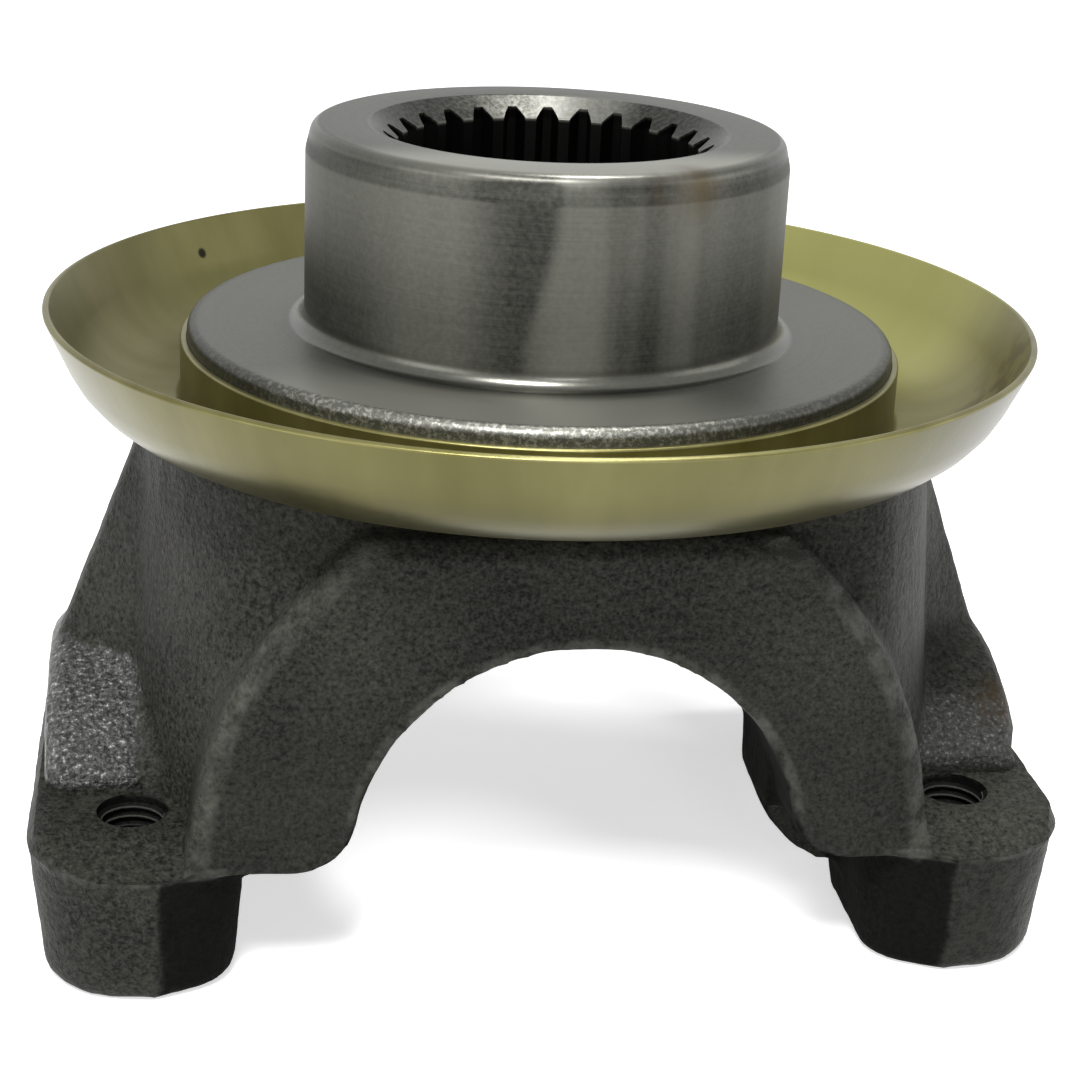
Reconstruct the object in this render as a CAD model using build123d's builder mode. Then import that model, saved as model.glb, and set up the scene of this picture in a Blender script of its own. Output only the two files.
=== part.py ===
from build123d import *
from math import acos, cos, pi, radians, sin, tan
import os

# Pinion end yoke of a rear axle: a steel forging with a machined, splined hub, four feet with
# tapped holes for the joint's bearing straps, and a pressed sheet-metal dust slinger.
# Origin: the joint's centre, in the plane of the four feet. X runs along the bearing saddles,
# Y across the yoke, Z up along the pinion's axis. It stands on its feet. Millimetres.

# Machined hub, the running surface of the pinion seal
hub_height = 72.0
hub_radius = 22.0
hub_lead_in_length = 2.3
hub_lead_in_drop = 0.6
hub_fillet = 1.4

# Shoulder below the hub, which also carries the slinger
shoulder_height = 53.8
shoulder_radius = 32.7
shoulder_chamfer = 0.7
slinger_ledge = 46.0

# Internal involute spline
spline_teeth = 27
spline_module = 25.4 / 24
spline_pressure_angle = 30.0
spline_root_radius = 15.0
spline_tip_radius = 13.76
spline_first_space = 2.2
bore_chamfer_radius = 16.3
bore_chamfer_depth = 0.94

# Recess for the pinion nut, open towards the joint
nut_recess_radius = 16.5
nut_recess_ceiling = 42.0

# Forging: the dies part at this height, and walls draw away from it at the draft angle
parting_height = 12.0
draft = 5.0

# Round body under the shoulder, flattened front and back
body_radius = 39.6
body_half_depth = 28.4
body_corner_round = 10.0

# Arched web, whose flat faces are the front and back of the yoke
web_half_depth = 29.4
web_top = 42.8
web_top_half_width = 18.2
web_waist_half_width = 29.0
web_waist_height = 29.2
web_foot_half_width = 33.0
web_corner_round = 3.0
web_edge_chamfer = 1.3

# Space for the joint between the ears: an arch from front to back, forged a little off centre,
# and a ball-shaped clearance for the cross that swings in it
arch_radius = 19.6
arch_centre_height = 13.4
arch_shift = 0.8
arch_foot_round = 5.8
cross_clearance_radius = 28.0

# Inner side of each ear, below the arch
ear_root_half_width = 19.7
ear_hip_half_width = 21.2
ear_hip_height = 10.0
ear_knee_half_width = 23.7
ear_knee_height = 7.0
ear_toe_half_width = 26.4
ear_toe_height = 5.4
ear_half_depth = 17.0

# Ribs that run from the body down the outside of each ear
rib_root_half_depth = 14.0
rib_ridge_rise = 1.1
rib_flank_half_depth = 10.5
rib_ridge_half_depth = 1.8
rib_top = 46.0
rib_top_half_width = 36.1
rib_foot = 20.0
rib_foot_half_width = 46.2
rib_ridge_round = 1.6

# Pads under the ears, which the bearing straps are bolted to
pad_inner = 29.0
pad_outer = 45.8
pad_half_length = 29.7
pad_crease = 35.6
pad_inner_fall = 3.2
pad_outer_fall = 1.2
pad_inner_corner = 5.0
pad_outer_corner = 7.8
pad_sole_chamfer = 0.9
chamfer_taper = 45.0
land_height = 14.5

# Collars over the bearing saddles
collar_radius = 23.6
collar_inner = 26.0
collar_outer = 45.9
collar_end_chamfer = 1.4

# Bearing saddles: half rounds whose axis lies in the plane of the feet
saddle_radius = 13.5
saddle_stop = 40.9
saddle_lip = 2.4

# Tapped holes for the straps
strap_thread_radius = 3.175
strap_hole_x = 37.8
strap_hole_spacing = 41.6
strap_hole_chamfer = 0.35

# Dust slinger, pressed on the shoulder
slinger_thickness = 0.65
slinger_lip_top = 52.3
slinger_flank_angle = 66.0
slinger_rim_radius = 45.6
slinger_rim_height = 55.5
slinger_bowl_share = 1.0
slinger_bowl_steps = 4

# Worked out from the sizes above
spline_pitch_radius = spline_teeth * spline_module / 2
spline_base_radius = spline_pitch_radius * cos(radians(spline_pressure_angle))
pad_middle = (pad_inner + pad_outer) / 2
rib_flank_half_width = rib_top_half_width - rib_ridge_rise
slinger_rise = slinger_rim_height - slinger_ledge
slinger_flank_foot = slinger_rim_radius - slinger_rise / tan(radians(slinger_flank_angle))
slinger_bowl_round = slinger_bowl_share * min(slinger_flank_foot - shoulder_radius, slinger_rise)
slinger_bowl_run = slinger_bowl_round * tan(radians(slinger_flank_angle / 2))
overall_length = 2 * (pad_outer + parting_height * tan(radians(draft)))
near = 0.01


def involute(angle):
    """The involute function of an angle in radians."""
    return tan(angle) - angle


def space_half_angle(radius):
    """Half the angle, in radians, that one spline space takes up at a radius."""
    at_pitch = pi / (2 * spline_teeth) + involute(radians(spline_pressure_angle))
    return at_pitch - involute(acos(spline_base_radius / radius))


def flank_point(radius, side):
    """A point on one flank of a spline space whose middle is at the first space's angle."""
    turn = radians(spline_first_space) + side * space_half_angle(radius)
    return (radius * cos(turn), radius * sin(turn))


def pad_outline(growth):
    """The outline of the right-hand pad, drawn out by a growth: creased ends, rounded corners."""
    inner, outer, tip = pad_inner - growth, pad_outer + growth, pad_half_length + growth
    with BuildSketch(mode=Mode.PRIVATE) as outline:
        with BuildLine():
            Polyline(
                (inner, pad_inner_fall - tip),
                (pad_crease, -tip),
                (outer, pad_outer_fall - tip),
                (outer, tip - pad_outer_fall),
                (pad_crease, tip),
                (inner, tip - pad_inner_fall),
                close=True,
            )
        make_face()
        fillet(outline.vertices().group_by(Axis.X)[0], pad_inner_corner + growth)
        fillet(outline.vertices().group_by(Axis.X)[-1], pad_outer_corner + growth)
    return outline.sketch


# Turned form: hub and shoulder
with BuildPart() as turned:
    with BuildSketch(Plane.XZ):
        with BuildLine():
            Polyline(
                (0, slinger_ledge),
                (shoulder_radius, slinger_ledge),
                (shoulder_radius, shoulder_height),
                (hub_radius, shoulder_height),
                (hub_radius, hub_height - hub_lead_in_length),
                (hub_radius - hub_lead_in_drop, hub_height),
                (0, hub_height),
                close=True,
            )
        make_face()
    revolve(axis=Axis.Z)
    rings = turned.edges().filter_by(GeomType.CIRCLE)
    corner_ring = rings.filter_by_position(
        Axis.Z, shoulder_height - near, shoulder_height + near
    ).sort_by(SortBy.RADIUS)
    fillet(corner_ring[0], hub_fillet)
    chamfer(corner_ring[-1], shoulder_chamfer)

# Round body with flattened front and back, drawn up from the parting plane
with BuildPart() as body:
    with BuildSketch(Plane.XY.offset(parting_height)) as body_outline:
        Circle(body_radius)
        Rectangle(overall_length, 2 * body_half_depth, mode=Mode.INTERSECT)
        fillet(body_outline.vertices(), body_corner_round)
    extrude(amount=slinger_ledge - parting_height, taper=draft)

# Arched web: a plate as deep as the yoke, standing proud of the body
with BuildPart() as web:
    with BuildSketch(Plane.XZ) as web_outline:
        with BuildLine():
            top = Line((0, web_top), (web_top_half_width, web_top))
            flank = ThreePointArc(
                top @ 1,
                (web_waist_half_width, web_waist_height),
                (web_foot_half_width, parting_height),
            )
            Polyline(flank @ 1, (0, parting_height), (0, web_top))
        make_face()
        mirror(about=Plane.YZ)
        fillet(web_outline.vertices().group_by(Axis.Y)[-1], web_corner_round)
    extrude(amount=web_half_depth, both=True)
    chamfer(web.faces().filter_by(Axis.Y).edges(), web_edge_chamfer)

# Body and web together, with the arch over the joint cut through them
with BuildPart() as core:
    add(body.part)
    add(web.part)
    with BuildSketch(Plane.XZ) as arch_space:
        with Locations((arch_shift, arch_centre_height)):
            Circle(arch_radius)
        Rectangle(2 * pad_inner, parting_height, align=(Align.CENTER, Align.MIN))
        arch_corners = arch_space.vertices().group_by(Axis.Y)[-1].sort_by_distance((arch_shift, 0))
        fillet(arch_corners[:2], arch_foot_round)
    extrude(amount=web_half_depth, both=True, mode=Mode.SUBTRACT)

# Pads, drawn both ways from the parting plane, with chamfered soles
with BuildPart() as pads:
    for height, rise, taper in (
        (parting_height, land_height - parting_height, draft),
        (parting_height, pad_sole_chamfer - parting_height, draft),
        (pad_sole_chamfer, -pad_sole_chamfer, chamfer_taper),
    ):
        with BuildSketch(Plane.XY.offset(height)):
            add(pad_outline(height * tan(radians(draft))))
        extrude(amount=rise, taper=taper)
    mirror(about=Plane.YZ)

# Inner blocks that close each saddle off from the arch
with BuildPart() as blocks:
    with BuildSketch(Plane.XZ):
        with BuildLine():
            Polyline(
                (pad_middle, ear_toe_height),
                (ear_toe_half_width, ear_toe_height),
                (ear_knee_half_width, ear_knee_height),
                (ear_hip_half_width, ear_hip_height),
                (ear_root_half_width, arch_centre_height),
                (pad_middle, arch_centre_height),
                close=True,
            )
        make_face()
        mirror(about=Plane.YZ)
    extrude(amount=ear_half_depth, both=True)

# Collars over the bearing saddles, half rounds above the parting plane
with BuildPart() as collars:
    with BuildSketch(Plane.YZ.offset(collar_inner)):
        Circle(collar_radius)
    extrude(amount=collar_outer - collar_inner)
    chamfer(collars.edges().group_by(Axis.X)[-1], collar_end_chamfer)
    mirror(about=Plane.YZ)
    with BuildSketch(Plane.XY.offset(parting_height)):
        Rectangle(2 * overall_length, 2 * overall_length)
    extrude(amount=collar_radius, mode=Mode.INTERSECT)

# Ribs between the body and the collars, each with a narrow ridge
with BuildPart() as ribs:
    for height, half_width in ((rib_foot, rib_foot_half_width), (rib_top, rib_top_half_width)):
        with BuildSketch(Plane.XY.offset(height)):
            with BuildLine():
                Polyline(
                    (pad_inner, -rib_root_half_depth),
                    (rib_flank_half_width, -rib_flank_half_depth),
                    (half_width, -rib_ridge_half_depth),
                    (half_width, rib_ridge_half_depth),
                    (rib_flank_half_width, rib_flank_half_depth),
                    (pad_inner, rib_root_half_depth),
                    close=True,
                )
            make_face()
    loft(ruled=True)
    ridge_edges = ribs.faces().sort_by(Axis.X)[-1].edges().filter_by(
        lambda edge: abs(edge.tangent_at(0.5).Z) > near
    )
    fillet(ridge_edges, rib_ridge_round)
    mirror(about=Plane.YZ)

# The forging put together, then its machined faces
with BuildPart() as yoke:
    add(core.part)
    add(turned.part)
    add(ribs.part)
    add(collars.part)
    add(blocks.part)
    add(pads.part)
    # Clearance for the cross
    Sphere(cross_clearance_radius, mode=Mode.SUBTRACT)
    # Recess for the nut
    with BuildSketch(Plane.XY.offset(arch_centre_height)):
        Circle(nut_recess_radius)
    extrude(amount=nut_recess_ceiling - arch_centre_height, mode=Mode.SUBTRACT)
    # Splined bore
    with BuildSketch(Plane.XY.offset(hub_height)):
        Circle(spline_tip_radius)
        with BuildSketch(mode=Mode.PRIVATE) as space:
            with BuildLine():
                start = Line((0, 0), flank_point(spline_tip_radius, -1))
                first_flank = Line(start @ 1, flank_point(spline_root_radius, -1))
                root = ThreePointArc(
                    first_flank @ 1,
                    Vector(spline_root_radius, 0).rotate(Axis.Z, spline_first_space),
                    flank_point(spline_root_radius, 1),
                )
                second_flank = Line(root @ 1, flank_point(spline_tip_radius, 1))
                Line(second_flank @ 1, (0, 0))
            make_face()
        with PolarLocations(0, spline_teeth):
            add(space.sketch)
    extrude(amount=nut_recess_ceiling - hub_height, mode=Mode.SUBTRACT)
    with BuildSketch(Plane.XY.offset(hub_height)):
        Circle(bore_chamfer_radius)
    with BuildSketch(Plane.XY.offset(hub_height - bore_chamfer_depth)):
        Circle(spline_root_radius)
    loft(mode=Mode.SUBTRACT)
    # Bearing saddles, open at the feet, with a stop for each bearing cap
    with BuildSketch(Plane.YZ):
        Circle(saddle_radius)
    extrude(amount=saddle_stop, both=True, mode=Mode.SUBTRACT)
    with BuildSketch(Plane.YZ):
        Circle(saddle_radius - saddle_lip)
    extrude(amount=overall_length, both=True, mode=Mode.SUBTRACT)
    # Tapped holes for the strap bolts, drilled right through the pads
    with Locations(Plane.XY.offset(land_height + strap_thread_radius)):
        with GridLocations(2 * strap_hole_x, strap_hole_spacing, 2, 2):
            Hole(strap_thread_radius, depth=2 * land_height)
    with GridLocations(2 * strap_hole_x, strap_hole_spacing, 2, 2):
        Cone(
            strap_thread_radius + strap_hole_chamfer,
            strap_thread_radius,
            strap_hole_chamfer,
            align=(Align.CENTER, Align.CENTER, Align.MIN),
            mode=Mode.SUBTRACT,
        )

# Dust slinger: a pressed cup whose lip grips the shoulder and whose floor sits on the ledges
with BuildPart() as dust_slinger:
    with BuildSketch(Plane.XZ):
        with BuildLine(mode=Mode.PRIVATE):
            bowl_start = (slinger_flank_foot - slinger_bowl_run, slinger_ledge)
            bowl = JernArc(bowl_start, (1, 0), slinger_bowl_round, slinger_flank_angle)
        with BuildLine():
            Polyline(
                (shoulder_radius, slinger_lip_top),
                (shoulder_radius, slinger_ledge),
                *[bowl @ (step / slinger_bowl_steps) for step in range(slinger_bowl_steps + 1)],
                (slinger_rim_radius, slinger_rim_height),
            )
            offset(amount=slinger_thickness, side=Side.LEFT)
        make_face()
    revolve(axis=Axis.Z)

os.makedirs("parts", exist_ok=True)
yoke.part.label = "yoke"
export_step(yoke.part, "parts/yoke.step")
dust_slinger.part.label = "dust_slinger"
export_step(dust_slinger.part, "parts/dust_slinger.step")
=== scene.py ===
import math
import bpy
from mathutils import Matrix, Vector


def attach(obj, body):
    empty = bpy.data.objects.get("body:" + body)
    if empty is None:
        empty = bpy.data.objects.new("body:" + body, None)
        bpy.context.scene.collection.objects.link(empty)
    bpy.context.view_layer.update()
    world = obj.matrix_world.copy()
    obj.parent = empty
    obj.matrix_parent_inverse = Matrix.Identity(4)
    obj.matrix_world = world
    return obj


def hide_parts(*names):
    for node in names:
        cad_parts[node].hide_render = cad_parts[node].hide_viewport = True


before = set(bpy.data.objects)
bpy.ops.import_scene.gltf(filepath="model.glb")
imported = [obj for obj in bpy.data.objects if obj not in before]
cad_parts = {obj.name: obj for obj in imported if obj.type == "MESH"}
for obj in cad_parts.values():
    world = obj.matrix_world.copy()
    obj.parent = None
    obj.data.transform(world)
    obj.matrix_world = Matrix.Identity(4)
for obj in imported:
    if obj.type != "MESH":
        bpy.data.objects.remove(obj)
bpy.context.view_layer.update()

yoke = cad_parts["yoke"]
dust_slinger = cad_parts["dust_slinger"]

MM = 0.001

# Sizes repeated from the part, in millimetres
LEDGE = 46.0
HUB_HEIGHT = 72.0
HUB_RADIUS = 22.0
SHOULDER_RADIUS = 32.7
SHOULDER_HEIGHT = 53.8
SPLINE_TEETH = 27
SPLINE_PITCH_RADIUS = 14.2875
SPLINE_ROOT_RADIUS = 15.0
SPLINE_TIP_RADIUS = 13.76
SPLINE_FIRST_SPACE = 2.2
BORE_CHAMFER_RADIUS = 16.3
BORE_CHAMFER_FOOT = 70.16
NUT_RECESS_RADIUS = 16.5
NUT_RECESS_CEILING = 42.0
SADDLE_RADIUS = 13.5
SADDLE_STOP = 40.9
SADDLE_LIP = 2.4
STRAP_THREAD_RADIUS = 3.175
STRAP_THREAD_PITCH = 0.907
STRAP_HOLE_X = 37.8
STRAP_HOLE_Y = 20.8
LAND_HEIGHT = 14.5
ARCH_CENTRE = (0.8, 13.4)
ARCH_RADIUS = 19.6
ARCH_FOOT_ROUND = 5.8
WEB_HALF_DEPTH = 29.4
WEB_EDGE_CENTRE = (-6.89, 11.79)
WEB_EDGE_RADIUS = 39.89
SLINGER_SHEET = 0.65
SLINGER_LIP_TOP = 52.3

# Sizes that only the scene has, in millimetres
FLASH_LEVEL = 12.7
FLASH_RIDGE_RADIUS = 0.6
VOXEL = 0.6
FILLER_OVERLAP = 0.3
REAR_RELIEF_RADIUS = 32.0
REAR_RELIEF_START = 8.0
THREAD_TURNS = 15

# How much blue the greys of the forged scale and of the machined steel lose
SCALE_WARMTH = 0.17
STEEL_WARMTH = 0.12

# Painted reflections, as soft streaks down the hub: angle, half width and fade in degrees, then
# strength
HUB_REFLECTION_STREAKS = (
    (-82.0, 1.0, 3.0, 0.15),
    (-73.8, 1.2, 3.0, 0.22),
    (-45.0, 4.0, 9.0, 0.2),
    (-65.0, 1.2, 3.0, -0.2),
)

# Smooth shading stops at edges sharper than this, in degrees
SHARP_EDGE = 32

# The camera's place in millimetres, its aim, its roll in degrees and its lens
CAMERA_PLACE = (-31.29, -205.19, 110.53)
CAMERA_AIM = (0.1449, 0.9238, -0.3543)
CAMERA_ROLL = 2.6415
CAMERA_LENS = 76.41
CAMERA_SENSOR = 36.0


class Value:
    """A socket that takes part in sums written as Python expressions."""

    def __init__(self, shader, socket):
        self.shader = shader
        self.socket = socket

    def math(self, operation, *others):
        return self.shader.node("ShaderNodeMath", {"operation": operation}, [self, *others])[0]

    def __add__(self, other):
        return self.math("ADD", other)

    def __sub__(self, other):
        return self.math("SUBTRACT", other)

    def __mul__(self, other):
        return self.math("MULTIPLY", other)

    def __truediv__(self, other):
        return self.math("DIVIDE", other)

    def __pow__(self, other):
        return self.math("POWER", other)

    def __rsub__(self, other):
        return self.shader.node("ShaderNodeMath", {"operation": "SUBTRACT"}, [other, self])[0]

    __radd__ = __add__
    __rmul__ = __mul__

    def clamp(self, low=0.0, high=1.0):
        return self.math("MAXIMUM", low).math("MINIMUM", high)

    def ramp(self, start, end):
        """0 at start and 1 at end, eased between them."""
        settings = {"interpolation_type": "SMOOTHSTEP"}
        inputs = {"Value": self, "From Min": start, "From Max": end}
        return self.shader.node("ShaderNodeMapRange", settings, inputs)[0]

    def band(self, middle, half_width, soft):
        """1 within a half width of a middle value, fading to 0 over the soft distance."""
        return (self - middle).math("ABSOLUTE").ramp(half_width + soft, half_width)


class Outputs:
    """The outputs of a node, by number or name."""

    def __init__(self, shader, made):
        self.shader = shader
        self.made = made

    def __getitem__(self, key):
        return Value(self.shader, self.made.outputs[key])


class Shader:
    """A material, or the world, under construction."""

    def __init__(self, name, world_tree=None):
        self.material = None if world_tree else bpy.data.materials.new(name)
        if self.material:
            self.material.use_nodes = True
        self.tree = world_tree or self.material.node_tree
        self.tree.nodes.clear()
        kind = "ShaderNodeOutputWorld" if world_tree else "ShaderNodeOutputMaterial"
        self.output = self.tree.nodes.new(kind)

    def measure(self):
        """Adds the place on the object, in millimetres and degrees, and the way it faces."""
        places = self.node("ShaderNodeTexCoord")
        self.point = places["Object"]
        axes = self.node("ShaderNodeSeparateXYZ", {}, [self.point])
        self.x, self.y, self.z = (axes[axis] / MM for axis in "XYZ")
        self.facing = self.node("ShaderNodeSeparateXYZ", {}, [places["Normal"]])
        self.angle = self.y.math("ARCTAN2", self.x) * (180.0 / math.pi)
        self.radius = (self.x**2.0 + self.y**2.0).math("SQRT")

    def node(self, kind, settings=None, inputs=None):
        """Adds a node: its settings first, then its sockets' values or links."""
        made = self.tree.nodes.new(kind)
        for key, value in (settings or {}).items():
            setattr(made, key, value)
        pairs = enumerate(inputs) if isinstance(inputs, list) else (inputs or {}).items()
        for key, value in pairs:
            if isinstance(value, Value):
                self.tree.links.new(value.socket, made.inputs[key])
            else:
                made.inputs[key].default_value = value
        return Outputs(self, made)

    def noise(self, scale, detail=3.0, roughness=0.5, vector=None):
        """Noise from 0 to 1, its scale in features per millimetre."""
        inputs = {
            "Vector": vector or self.point,
            "Scale": scale / MM,
            "Detail": detail,
            "Roughness": roughness,
        }
        return self.node("ShaderNodeTexNoise", {}, inputs)[0]

    def vector(self, x, y, z):
        """A place in millimetres, for noise that is drawn out along one way."""
        return self.node("ShaderNodeCombineXYZ", {}, [x * MM, y * MM, z * MM])[0]

    def mix(self, factor, low, high):
        inputs = {0: factor, 6: low, 7: high}
        return self.node("ShaderNodeMix", {"data_type": "RGBA"}, inputs)[2]

    def near(self, x, y, z, radius, soft=0.5):
        """1 inside a ball round a point, fading out towards its edge."""
        square = (self.x - x) ** 2.0 + (self.y - y) ** 2.0 + (self.z - z) ** 2.0
        return square.math("SQRT").ramp(radius, radius * (1.0 - soft))

    def bump(self, height, distance):
        """A bump whose full height is a distance in millimetres."""
        return self.node("ShaderNodeBump", {}, {"Distance": distance * MM, "Height": height})[0]

    def surface(self, **sockets):
        inputs = {key.replace("_", " "): value for key, value in sockets.items()}
        made = self.node("ShaderNodeBsdfPrincipled", {}, inputs)
        self.tree.links.new(made[0].socket, self.output.inputs["Surface"])
        return self.material


def grey(level, warmth=0.0):
    """A grey that loses some of its blue as it gets warmer."""
    return (level, level, level * (1 - warmth), 1.0)


def distance(across, up, centre):
    """How far a pair of coordinates is from a centre, in millimetres."""
    return ((across - centre[0]) ** 2.0 + (up - centre[1]) ** 2.0).math("SQRT")


def forged_steel():
    """Dark, grainy scale; painted highlights on the collars and edges, painted shade on inner and
    low front faces.
    """
    s = Shader("forged_steel")
    s.measure()
    grain = s.noise(1.9, 4.0, 0.65)
    coarse = s.noise(0.7, 3.0, 0.6)
    cloud = s.noise(0.07, 3.0)
    across, along = s.x.math("ABSOLUTE"), s.y.math("ABSOLUTE")

    # The scale, with painted shade on the inner sides and low on the front
    tone = (grain - 0.5) * 2.2 + (s.noise(3.6, 2.0) - 0.5) * 1.1 + (cloud - 0.5) * 0.8 + 0.42
    painted_inner_shade = (s.facing["X"] * s.x / across).ramp(-0.12, -0.34) * s.z.ramp(26.0, 20.0)
    base = s.mix(tone.clamp(), grey(0.0045, SCALE_WARMTH), grey(0.042, SCALE_WARMTH))
    base = s.mix(painted_inner_shade * 0.85, base, grey(0.001))
    lower = s.z.ramp(40.0, 22.0) * s.facing["Y"].ramp(-0.6, -0.9) * s.x.ramp(-37.0, -33.0)
    base = s.mix(lower * 0.45, base, grey(0.003, SCALE_WARMTH))

    # Collars with a painted speckled highlight and a ragged edge, the right one painted duller as
    # shade
    right = s.x.ramp(-1.0, 1.0)
    ragged = (coarse - 0.5) * 2.4
    collar_and_painted_highlight = (across + right * 2.5 + ragged).ramp(36.6, 38.6) * s.z.ramp(14.7, 15.6)
    collar_and_painted_highlight = collar_and_painted_highlight * (s.z + right * 3.4 + ragged).ramp(24.0, 22.9) * (1.0 - right * 0.68)
    speckle = s.noise(2.6, 2.0, 0.6)
    painted_collar_glint = s.mix(speckle.ramp(0.35, 0.66), grey(0.035, 0.03), grey(0.11, 0.03))
    painted_collar_glint = s.mix(speckle.ramp(0.62, 0.7), painted_collar_glint, grey(0.32, 0.03))
    base = s.mix(collar_and_painted_highlight, base, painted_collar_glint)

    # Painted highlights along edges: the arch, the web's rounded rim and the flash line
    from_arch = distance(s.x, s.z, ARCH_CENTRE)
    from_web_edge = distance(across, s.z, WEB_EDGE_CENTRE)
    painted_edge_highlight = from_arch.band(ARCH_RADIUS + 0.5, 0.3, 0.5)
    painted_edge_highlight = painted_edge_highlight * along.ramp(28.6, 29.3) * s.z.ramp(15.5, 17.5)
    rim = from_web_edge.band(WEB_EDGE_RADIUS - 0.8, 0.4, 1.2) * along.ramp(26.8, 28.6)
    seam = s.z.band(12.6, 0.3, 0.4) * s.facing["Z"].ramp(0.75, 0.45) * across.ramp(28.0, 30.0)
    painted_edge_highlight = painted_edge_highlight + rim * s.z.ramp(12.5, 14.0) + seam
    painted_edge_highlight = painted_edge_highlight.clamp() * s.noise(0.35, 3.0, 0.7).ramp(0.3, 0.8)
    base = s.mix(painted_edge_highlight * 0.6, base, grey(0.09, 0.12))

    # Painted shade inside the strap holes, lighter thread crests, and a stain of rust on the
    # right
    hole = distance(across, along, (STRAP_HOLE_X, STRAP_HOLE_Y))
    base = s.mix(hole.ramp(3.45, 3.3) * s.z.ramp(14.4, 14.1) * 0.9, base, grey(0.002))
    base = s.mix(hole.ramp(2.85, 2.75) * s.z.ramp(11.0, 12.5) * 0.7, base, grey(0.055, 0.1))
    rust = s.near(44.3, -13.2, 20.2, 4.2, 0.9) * coarse.ramp(0.35, 0.65)
    base = s.mix(rust * 0.85, base, (0.024, 0.014, 0.005, 1.0))

    relief = (grain * 0.5 + coarse * 0.6) * (collar_and_painted_highlight * 1.2 + 1.0)
    normal = s.bump(relief, 0.45)
    return s.surface(
        Base_Color=base,
        Metallic=collar_and_painted_highlight * 0.7,
        Specular_IOR_Level=0.06,
        Roughness=0.5 - collar_and_painted_highlight * 0.14 + painted_inner_shade * 0.5,
        Normal=normal,
    )


def machined_steel():
    """Turned and ground steel: marks that run round it, and painted reflection streaks down its
    side.
    """
    s = Shader("machined_steel")
    s.measure()
    along = s.vector(s.angle * 0.03, s.radius * 9.0, s.z * 9.0)
    rings = s.noise(0.5, 3.0, 0.7, along)
    around = s.noise(0.12, 3.0, 0.55, s.vector(s.angle, s.radius * 0.03, s.z * 0.03))

    # Painted reflections as streaks down the hub's side, darker towards its foot, and the dark
    # lead-in
    side = s.z.ramp(54.2, 55.6) * s.radius.ramp(20.5, 21.6)
    low = s.z.ramp(68.0, 56.0)
    painted_reflection_bands = s.angle.ramp(-119.0, -102.0) * (s.angle + low * 6.0).ramp(-93.5, -98.5)
    painted_reflection_bands = painted_reflection_bands * (0.8 - low * 0.2)
    for middle, half_width, soft, amount in HUB_REFLECTION_STREAKS:
        painted_reflection_bands = painted_reflection_bands + s.angle.band(middle, half_width, soft) * amount
    painted_reflection_bands = painted_reflection_bands + s.angle.ramp(-135.0, -178.0) * low * 0.4
    fall = 0.45 - s.angle.band(-90.0, 3.0, 9.0) * 0.6 - s.angle.band(-66.0, 2.0, 5.0) * 0.2
    painted_reflection_bands = painted_reflection_bands + low * (fall - s.angle.band(-118.0, 14.0, 12.0) * 0.22)
    lead_in = s.z.band(70.3, 0.65, 0.35) * s.radius.ramp(20.8, 21.3)
    dark = (side * (painted_reflection_bands + (around - 0.5) * 0.3 + 0.28) + lead_in * 0.45).clamp()

    # The turned faces, with painted highlights on the front of the shoulder and the front of the
    # hub top
    hub_top_painted_light = s.mix(s.y.ramp(-9.0, -16.0), grey(0.055, STEEL_WARMTH), grey(0.23, STEEL_WARMTH))
    tops = s.mix(s.z.ramp(60.0, 70.0), grey(0.078, STEEL_WARMTH), hub_top_painted_light)
    base = s.mix(side, tops, grey(0.115, STEEL_WARMTH))
    base = s.mix(dark, base, grey(0.012, STEEL_WARMTH))
    painted_shoulder_highlight = s.angle.band(-105.0, 22.0, 25.0) * s.radius.ramp(23.5, 25.5)
    base = s.mix(painted_shoulder_highlight * 0.85, base, grey(0.28, STEEL_WARMTH))
    fine = s.noise(2.2, 2.0, 0.6)
    base = s.mix((rings - 0.5) * 0.2 + (fine - 0.5) * 0.25 + 0.12, base, grey(0.24, STEEL_WARMTH))

    # The mottled bore chamfer with a painted highlight at its back, the mottled shoulder rim,
    # painted shade down the bore and an oil stain
    mottle = s.noise(2.4, 3.0, 0.7)
    chamfer = s.radius.band(15.2, 1.2, 0.2) * s.z.ramp(69.8, 70.2)
    # A painted highlight on the back of the chamfer
    glow = mottle.ramp(0.3, 0.8) * 0.4 + s.angle.band(68.0, 8.0, 16.0) * 0.6
    chamfer_mottle_and_highlight = s.mix(glow, grey(0.02, 0.15), grey(0.17, 0.1))
    base = s.mix(chamfer, base, chamfer_mottle_and_highlight)
    rim = s.radius.ramp(31.5, 32.1) * s.z.ramp(50.0, 52.0) * mottle.ramp(0.65, 0.45)
    base = s.mix(rim * 0.75, base, grey(0.04, 0.1))
    # Painted shade down the bore
    bore = s.radius.ramp(15.25, 15.0) * (s.z - s.radius * 0.7244).ramp(60.1, 59.85)
    base = s.mix(bore * 0.96, base, grey(0.004))
    stain = s.near(9.1, -19.7, 71.0, 4.5, 0.8) * 0.6 * around.ramp(0.3, 0.6)
    base = s.mix(stain, base, (0.075, 0.055, 0.025, 1.0))

    normal = s.bump(rings * 0.5 + fine * 0.5, 0.006)
    edges = s.radius.band(21.6, 0.5, 0.4) * s.z.ramp(70.2, 71.0)
    edges = edges + chamfer * 0.5
    fillet_band = s.radius.band(22.6, 0.5, 0.5) * s.z.ramp(56.0, 55.0)
    rough = 0.44 + side * 0.12 - fillet_band * 0.18 - (edges * 0.2).clamp()
    return s.surface(Base_Color=base, Metallic=1.0, Roughness=rough, Normal=normal)


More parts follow.
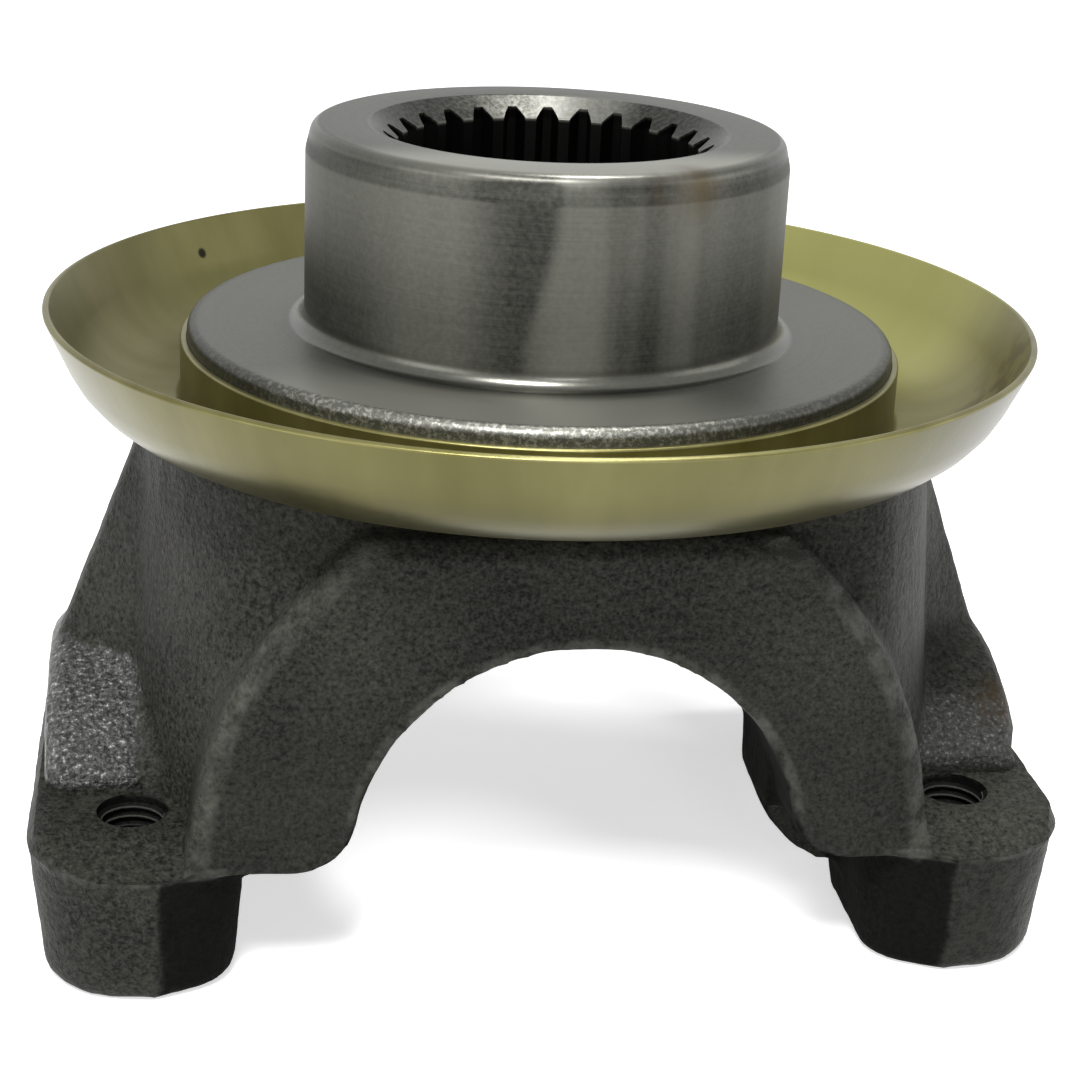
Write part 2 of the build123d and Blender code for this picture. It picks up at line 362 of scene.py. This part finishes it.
def yellow_zinc():
    """Olive-yellow passivated zinc: soft streaks, painted shade on its underside, rust inside the
    rim.
    """
    s = Shader("yellow_zinc")
    s.measure()
    streaks = s.noise(0.1, 4.0, 0.6, s.vector(s.angle, s.radius * 0.35, s.z * 0.35))
    cloud = s.noise(0.05, 3.0)
    tone = ((streaks - 0.5) * 1.6 + (cloud - 0.5) * 0.8 + 0.5).clamp()
    base = s.mix(tone, (0.10, 0.09, 0.026, 1.0), (0.20, 0.187, 0.083, 1.0))

    # Painted shade on the underside, deeper towards its foot and both ends
    shine = s.noise(0.09, 3.0, 0.55, s.vector(s.angle, s.radius * 0.05, s.z * 0.05))
    front = 0.8 + s.angle.ramp(-150.0, -115.0) * 0.2 + s.angle.ramp(-65.0, -40.0) * 0.6
    front = front + s.z.ramp(53.0, 48.5) * 0.35
    under = s.facing["Z"].ramp(0.1, -0.2) * front * (0.6 + shine * 0.9)
    base = s.mix((under * 0.6).clamp(0.0, 0.9), base, (0.07, 0.066, 0.026, 1.0))
    for start, end, amount in ((-60.0, -38.0, 0.4), (-145.0, -165.0, 0.3)):
        sides = under * s.angle.ramp(start, end) * amount
        base = s.mix(sides, base, (0.03, 0.028, 0.011, 1.0))

    # The bowl: a painted highlight and a painted shade along two stretches, rust near the rim and
    # one dark speck
    within = s.facing["Z"].ramp(0.0, 0.3)
    painted_bowl_highlight, painted_bowl_shade = (s.angle.band(middle, 16.0, 22.0) for middle in (30.0, 135.0))
    base = s.mix(within * painted_bowl_highlight * 0.6, base, (0.42, 0.42, 0.15, 1.0))
    base = s.mix(within * painted_bowl_shade * 0.35, base, (0.05, 0.05, 0.016, 1.0))
    patina = s.near(40.0, -12.0, 52.0, 9.0, 0.8) * s.noise(0.4, 3.0).ramp(0.45, 0.6)
    base = s.mix(patina * 0.8, base, (0.06, 0.03, 0.015, 1.0))
    pit = s.near(-31.2, 30.3, 52.5, 0.7)
    base = s.mix(pit, base, (0.01, 0.008, 0.004, 1.0))

    normal = s.bump(streaks + s.noise(1.5, 2.0) * 0.4, 0.02)
    return s.surface(Base_Color=base, Metallic=0.9, Roughness=0.34, Normal=normal)


def select_only(piece):
    bpy.ops.object.select_all(action="DESELECT")
    piece.select_set(True)
    bpy.context.view_layer.objects.active = piece


def edit(piece, *steps):
    """Runs edit-mode steps on all of a piece, each an operator with its settings."""
    select_only(piece)
    bpy.ops.object.mode_set(mode="EDIT")
    for operator, settings in steps:
        bpy.ops.mesh.select_all(action="SELECT")
        operator(**settings)
    bpy.ops.object.mode_set(mode="OBJECT")


def modify(piece, kind, **settings):
    """Adds a modifier and applies it."""
    modifier = piece.modifiers.new(kind.lower(), kind)
    for key, value in settings.items():
        setattr(modifier, key, value)
    select_only(piece)
    bpy.ops.object.modifier_apply(modifier=modifier.name)


def join(piece, others):
    """Joins other pieces into one."""
    bpy.ops.object.select_all(action="DESELECT")
    for other in others:
        other.select_set(True)
    piece.select_set(True)
    bpy.context.view_layer.objects.active = piece
    bpy.ops.object.join()


def cut_away(piece, tool):
    """Takes a tool's shape out of a piece and deletes the tool."""
    modify(piece, "BOOLEAN", operation="DIFFERENCE", solver="MANIFOLD", object=tool)
    bpy.data.objects.remove(tool)


def halve(piece, place, normal, side):
    """Cuts a piece flat through a place and takes off one side.

    The outer side is the one that the plane's normal points to, and the other is the inner one.
    """
    plane = {"plane_co": [value * MM for value in place], "plane_no": normal}
    edit(piece, (bpy.ops.mesh.bisect, {**plane, "use_fill": True, f"clear_{side}": True}))


def rounded(corners):
    """The points of a closed profile whose corners (x, y, round) are rounded."""
    points = []
    for index, (x, y, size) in enumerate(corners):
        here = Vector((x, y))
        before = Vector(corners[index - 1][:2]) - here
        after = Vector(corners[(index + 1) % len(corners)][:2]) - here
        before.normalize()
        after.normalize()
        if size == 0:
            points.append(here)
            continue
        half = before.angle(after) / 2
        centre = here + (before + after).normalized() * size / math.sin(half)
        start, end = (here + way * size / math.tan(half) - centre for way in (before, after))
        steps = max(2, math.ceil((math.pi - 2 * half) / math.radians(11)))
        for step in range(steps + 1):
            points.append(centre + start.slerp(end, step / steps).normalized() * size)
    return points


def turned(name, corners, sides=256):
    """A ring turned round the Z axis from a closed profile of (radius, height, round)."""
    profile = rounded(corners)
    bpy.ops.object.select_all(action="DESELECT")
    bpy.ops.mesh.primitive_circle_add(vertices=len(profile))
    piece = bpy.context.object
    piece.name = name
    for vertex, point in zip(piece.data.vertices, profile):
        vertex.co = Vector((point.x, 0, point.y)) * MM
    spin = {"steps": sides, "angle": 2 * math.pi, "center": (0, 0, 0), "axis": (0, 0, 1)}
    edit(
        piece,
        (bpy.ops.mesh.spin, spin),
        (bpy.ops.mesh.remove_doubles, {"threshold": 1e-6}),
        (bpy.ops.mesh.normals_make_consistent, {"inside": False}),
    )
    return piece


def bar(radius, start, end, axis="Z", place=(0, 0), sides=96):
    """A round bar from start to end along an axis, for filling or cutting."""
    middle = (start + end) / 2
    spots = {"X": (middle, *place), "Z": (*place, middle)}
    turns = {"X": (0, math.pi / 2, 0), "Z": (0, 0, 0)}
    bpy.ops.object.select_all(action="DESELECT")
    bpy.ops.mesh.primitive_cylinder_add(
        vertices=sides,
        radius=radius * MM,
        depth=(end - start) * MM,
        location=Vector(spots[axis]) * MM,
        rotation=turns[axis],
    )
    bpy.ops.object.transform_apply(location=True, rotation=True, scale=True)
    return bpy.context.object


def space_half_angle(radius):
    """Half the angle in degrees that one spline space takes up at a radius."""
    pressure = math.radians(30)
    base = SPLINE_PITCH_RADIUS * math.cos(pressure)
    local = math.acos(base / radius)
    opening = math.tan(pressure) - pressure - math.tan(local) + local
    return math.degrees(math.pi / (2 * SPLINE_TEETH) + opening)


def spline_cutter():
    """A star-shaped prism whose points cut the spaces between the spline teeth."""
    radii = [13.4, 13.9, 14.4, SPLINE_ROOT_RADIUS]
    flank = [(radius, space_half_angle(radius)) for radius in radii]
    space = [(radius, -angle) for radius, angle in flank] + flank[::-1]
    star = []
    for tooth in range(SPLINE_TEETH):
        middle = SPLINE_FIRST_SPACE + 360 / SPLINE_TEETH * tooth
        star += [(radius, math.radians(middle + angle)) for radius, angle in space]
    bpy.ops.object.select_all(action="DESELECT")
    bpy.ops.mesh.primitive_circle_add(vertices=len(star), fill_type="NGON")
    cutter = bpy.context.object
    for vertex, (radius, angle) in zip(cutter.data.vertices, star):
        place = (radius * math.cos(angle), radius * math.sin(angle), NUT_RECESS_CEILING - 1)
        vertex.co = Vector(place) * MM
    rise = {"value": (0, 0, (HUB_HEIGHT - NUT_RECESS_CEILING + 2) * MM)}
    edit(
        cutter,
        (bpy.ops.mesh.extrude_region_move, {"TRANSFORM_OT_translate": rise}),
        (bpy.ops.mesh.normals_make_consistent, {"inside": False}),
    )
    return cutter


def machined_hub():
    """The hub and shoulder with softly broken edges, down to the ceiling of the nut recess."""
    corners = [
        (SPLINE_TIP_RADIUS, NUT_RECESS_CEILING, 0),
        (SPLINE_TIP_RADIUS, BORE_CHAMFER_FOOT, 0.2),
        (BORE_CHAMFER_RADIUS, HUB_HEIGHT, 0.4),
        (HUB_RADIUS - 0.6, HUB_HEIGHT, 1.1),
        (HUB_RADIUS, HUB_HEIGHT - 2.5, 2.0),
        (HUB_RADIUS, SHOULDER_HEIGHT, 1.4),
        (SHOULDER_RADIUS, SHOULDER_HEIGHT, 0.9),
        (SHOULDER_RADIUS, LEDGE, 0),
        (NUT_RECESS_RADIUS + 0.2, LEDGE, 0),
        (NUT_RECESS_RADIUS + 0.2, NUT_RECESS_CEILING, 0),
    ]
    piece = turned("machined_hub", corners)
    cut_away(piece, spline_cutter())
    return piece


def slinger_sheet():
    """The pressed cup: one sheet with a lip on the shoulder, a bowl and a rolled-off rim."""
    lip_outside = SHOULDER_RADIUS + SLINGER_SHEET
    floor_top = LEDGE + SLINGER_SHEET
    corners = [
        (SHOULDER_RADIUS, SLINGER_LIP_TOP, 0.1),
        (SHOULDER_RADIUS, LEDGE, 1.2),
        (41.37, LEDGE, 8.7),
        (45.6, 55.5, 0.22),
        (45.006, 55.764, 0.22),
        (40.948, floor_top, 8.05),
        (lip_outside, floor_top, 0.55),
        (lip_outside, SLINGER_LIP_TOP, 0.25),
    ]
    return turned("slinger_sheet", corners)


def flash_ridges():
    """Thin ridges round the arch and the web's foot, front and back, where the dies met."""
    middle, level = ARCH_CENTRE
    toe_level = 12.0 + ARCH_FOOT_ROUND
    toe_reach = math.sqrt((ARCH_RADIUS + ARCH_FOOT_ROUND) ** 2 - (toe_level - level) ** 2)
    meet = math.asin((toe_level - level) / (ARCH_RADIUS + ARCH_FOOT_ROUND))
    line = [(-33.5, FLASH_LEVEL)]
    for step in range(8):
        turn = -math.pi / 2 + (math.pi / 2 - meet) * step / 7
        spot = (ARCH_FOOT_ROUND - 0.7) * Vector((math.cos(turn), math.sin(turn)))
        line.append((middle - toe_reach + spot.x, toe_level + spot.y))
    for step in range(1, 48):
        turn = math.pi - meet - (math.pi - 2 * meet) * step / 48
        spot = (ARCH_RADIUS + 0.7) * Vector((math.cos(turn), math.sin(turn)))
        line.append((middle + spot.x, level + spot.y))
    for x, z in line[7::-1]:
        line.append((2 * middle - x, z))
    ridges = []
    for side in (-1, 1):
        curve = bpy.data.curves.new("flash_ridge", "CURVE")
        curve.dimensions = "3D"
        curve.bevel_depth = FLASH_RIDGE_RADIUS * MM
        curve.use_fill_caps = True
        spline = curve.splines.new("POLY")
        spline.points.add(len(line) - 1)
        for point, (x, z) in zip(spline.points, line):
            point.co = (x * MM, side * (WEB_HALF_DEPTH - 0.3) * MM, z * MM, 1)
        ridge = bpy.data.objects.new("flash_ridge", curve)
        bpy.context.scene.collection.objects.link(ridge)
        select_only(ridge)
        bpy.ops.object.convert(target="MESH")
        ridges.append(bpy.context.object)
    return ridges


def ear_cheeks():
    """Blocks that carry the inner side of each ear up into the wall of the arch."""
    cheeks = []
    for x in (-1, 1):
        for y in (-1, 1):
            bpy.ops.object.select_all(action="DESELECT")
            bpy.ops.mesh.primitive_cube_add(
                size=1,
                location=Vector((x * 23.5, y * 16.0, 15.9)) * MM,
                scale=Vector((7.5, 11.0, 5.4)) * MM,
            )
            bpy.ops.object.transform_apply(location=True, rotation=True, scale=True)
            cheeks.append(bpy.context.object)
    return cheeks


def rear_relief():
    """A half ball that clears the cross at the back, where the photograph shows no metal."""
    bpy.ops.object.select_all(action="DESELECT")
    radius = REAR_RELIEF_RADIUS * MM
    bpy.ops.mesh.primitive_uv_sphere_add(segments=96, ring_count=48, radius=radius)
    ball = bpy.context.object
    halve(ball, (0, REAR_RELIEF_START, 0), (0, 1, 0), "inner")
    halve(ball, (0, 0, ARCH_CENTRE[1]), (0, 0, 1), "outer")
    return ball


def forged_marks(point):
    """Where a point of the forging moves to, for the marks that the photograph shows."""
    x, y, z = point
    if abs(x) > 33.2 and z > 12.4:
        fall = max(abs(y) - 25.2, 0) * 0.42
        z = min(z, max(LAND_HEIGHT - fall, 12.5)) if z < 16 else z
    moved = Vector((x, y, z))
    seam = max(1 - abs(z - 12.8) / 0.9, 0)
    if abs(x) > 31 and max(abs(x) - 40, abs(y) - 26) > 0:
        outward = math.copysign(0.3, x) if abs(x) > 44 else 0
        moved += Vector((outward, math.copysign(0.35, y), 0)) * seam
    marks = (
        ((18.0, -28.7, 42.0), 1.3, (-0.1, 0.5, -0.3)),
        ((24.7, -26.1, 37.0), 1.4, (-0.3, 0.4, -0.1)),
        ((23.1, -28.6, 37.2), 1.2, (-0.2, 0.3, -0.2)),
        ((45.7, -15.2, 16.4), 1.8, (-0.9, 0.5, 0.0)),
    )
    for place, reach, push in marks:
        pull = 1 - (moved - Vector(place)).length / reach
        if pull > 0:
            moved += Vector(push) * min(pull * 1.6, 1)
    return moved


def forged_body():
    """The forging, softened and lumpy as forged, with its machined faces cut sharp again."""
    saddle_filler = SADDLE_RADIUS + FILLER_OVERLAP
    saddle_end = SADDLE_STOP + 0.2
    piece = yoke.copy()
    piece.data = yoke.data.copy()
    piece.name = "forged_body"
    piece.parent = None
    bpy.context.scene.collection.objects.link(piece)
    edit(piece, (bpy.ops.mesh.remove_doubles, {"threshold": 1e-6}))
    halve(piece, (0, 0, LEDGE), (0, 0, 1), "outer")
    fillers = [
        bar(saddle_filler, -saddle_end, -29.5, "X"),
        bar(saddle_filler, 29.5, saddle_end, "X"),
        bar(NUT_RECESS_RADIUS + FILLER_OVERLAP, 33.2, LEDGE - 0.1),
    ]
    holes = [(x * STRAP_HOLE_X, y * STRAP_HOLE_Y) for x in (-1, 1) for y in (-1, 1)]
    for hole in holes:
        fillers.append(bar(STRAP_THREAD_RADIUS + 0.4, 0, LAND_HEIGHT, "Z", hole, 32))
    join(piece, fillers + flash_ridges() + ear_cheeks())
    modify(piece, "REMESH", mode="VOXEL", voxel_size=VOXEL * MM)
    modify(piece, "SMOOTH", factor=0.5, iterations=4)
    for size, strength in ((6.0, 0.25), (1.6, 0.12)):
        lumps = bpy.data.textures.new("lumps", "CLOUDS")
        lumps.noise_scale = size * MM
        modify(piece, "DISPLACE", texture=lumps, strength=strength * MM, texture_coords="LOCAL")
    for vertex in piece.data.vertices:
        vertex.co = forged_marks(vertex.co / MM) * MM
    cut_away(piece, bar(90, -20, 0))
    cut_away(piece, bar(90, LEDGE, LEDGE + 10))
    cut_away(piece, bar(SADDLE_RADIUS, -SADDLE_STOP, SADDLE_STOP, "X", sides=128))
    cut_away(piece, bar(SADDLE_RADIUS - SADDLE_LIP, -50, 50, "X", sides=128))
    cut_away(piece, bar(NUT_RECESS_RADIUS, ARCH_CENTRE[1], LEDGE + 1, sides=128))
    cut_away(piece, rear_relief())
    for hole in holes:
        cut_away(piece, bar(STRAP_THREAD_RADIUS, -1, LAND_HEIGHT + 2, "Z", hole, 48))
    return piece


def strap_thread():
    """The ridge of one strap hole's thread, standing on the hole's wall."""
    bpy.ops.object.select_all(action="DESELECT")
    bpy.ops.mesh.primitive_circle_add(vertices=4)
    piece = bpy.context.object
    piece.name = "strap_thread"
    profile = ((3.3, 0.05), (3.3, 0.75), (2.72, 0.45), (2.72, 0.35))
    for vertex, (radius, height) in zip(piece.data.vertices, profile):
        vertex.co = Vector((radius, 0, height)) * MM
    modify(
        piece,
        "SCREW",
        angle=2 * math.pi,
        screw_offset=STRAP_THREAD_PITCH * MM,
        iterations=THREAD_TURNS,
        steps=40,
        render_steps=40,
        use_merge_vertices=False,
    )
    edit(
        piece,
        (bpy.ops.mesh.fill_holes, {"sides": 4}),
        (bpy.ops.mesh.normals_make_consistent, {"inside": False}),
    )
    return piece


def finish_piece(piece, material, node=None):
    """Gives a piece its material and smooth shading, and sets its place in the frame."""
    piece.data.materials.clear()
    piece.data.materials.append(material)
    select_only(piece)
    bpy.ops.object.shade_smooth_by_angle(angle=math.radians(SHARP_EDGE))
    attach(piece, "root")
    if node:
        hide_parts(node)


forged = forged_steel()
machined = machined_steel()
zinc = yellow_zinc()
for node, material in ((yoke, forged), (dust_slinger, zinc)):
    node.data.materials.clear()
    node.data.materials.append(material)

finish_piece(forged_body(), forged, "yoke")
finish_piece(machined_hub(), machined, "yoke")
finish_piece(slinger_sheet(), zinc, "dust_slinger")
first_thread = strap_thread()
for number, (x, y) in enumerate(((-1, -1), (1, -1), (-1, 1), (1, 1)), 1):
    thread = first_thread.copy()
    thread.data = first_thread.data.copy()
    thread.name = f"strap_thread_{number}"
    bpy.context.scene.collection.objects.link(thread)
    foot = Vector((x * STRAP_HOLE_X, y * STRAP_HOLE_Y, 0.05)) * MM
    thread.data.transform(Matrix.Translation(foot))
    finish_piece(thread, forged)
bpy.data.objects.remove(first_thread)


def seen_rays(shader):
    """1 for the rays that a camera, a reflection or clear glass sends out, else 0."""
    path = shader.node("ShaderNodeLightPath")
    rays = path["Is Camera Ray"] + path["Is Glossy Ray"] + path["Is Transmission Ray"]
    return rays.clamp()


# The floor is near white to the eye, yet keeps the object's shadow
bpy.ops.object.select_all(action="DESELECT")
bpy.ops.mesh.primitive_plane_add(size=6.0, location=(0, 0, 0))
floor = bpy.context.object
floor.name = "floor"
s = Shader("pale_floor")
glow = s.mix(seen_rays(s), grey(0.0), grey(1.0))
floor.data.materials.append(
    s.surface(Base_Color=grey(0.8), Roughness=0.9, Emission_Color=glow, Emission_Strength=0.6)
)

# The world: soft light from all round, seen as white by the camera and by reflections
world = bpy.data.worlds.new("studio")
bpy.context.scene.world = world
world.use_nodes = True
s = Shader("studio", world.node_tree)
soft = s.node("ShaderNodeBackground", {}, {"Color": grey(1.0), "Strength": 0.2})
white = s.node("ShaderNodeBackground", {}, {"Color": grey(1.0), "Strength": 1.0})
sky = s.node("ShaderNodeMixShader", {}, [seen_rays(s), soft[0], white[0]])
s.tree.links.new(sky[0].socket, s.output.inputs["Surface"])


def lamp(name, place, size, power):
    """A soft rectangular lamp that faces the object."""
    data = bpy.data.lights.new(name, "AREA")
    data.shape = "RECTANGLE"
    data.size, data.size_y = size
    data.energy = power
    made = bpy.data.objects.new(name, data)
    made.location = place
    aim = Vector((0, 0, 0.03)) - Vector(place)
    made.rotation_euler = aim.to_track_quat("-Z", "Y").to_euler()
    bpy.context.scene.collection.objects.link(made)


lamp("key", (-0.11, -0.36, 0.56), (0.2, 0.18), 6.5)
lamp("left", (-0.54, -0.32, 0.2), (0.4, 0.35), 1.1)
lamp("front", (0.03, -0.55, 0.25), (0.09, 0.05), 0.4)
lamp("top", (0.1, 0.1, 0.7), (0.14, 0.14), 2.4)
lamp("right", (0.65, -0.1, 0.2), (0.5, 0.35), 0.8)

# The camera stands where the photograph was taken from
camera_data = bpy.data.cameras.new("camera")
camera = bpy.data.objects.new("camera", camera_data)
bpy.context.scene.collection.objects.link(camera)
camera_data.lens = CAMERA_LENS
camera_data.sensor_width = CAMERA_SENSOR
forward = Vector(CAMERA_AIM).normalized()
right = forward.cross(Vector((0, 0, 1))).normalized()
up = right.cross(forward)
roll = math.radians(CAMERA_ROLL)
side = right * math.cos(roll) + up * math.sin(roll)
top = up * math.cos(roll) - right * math.sin(roll)
turn = Matrix((side, top, -forward)).transposed().to_4x4()
camera.matrix_world = Matrix.Translation(Vector(CAMERA_PLACE) * MM) @ turn
bpy.context.scene.camera = camera
bpy.context.scene.view_settings.view_transform = "Standard"
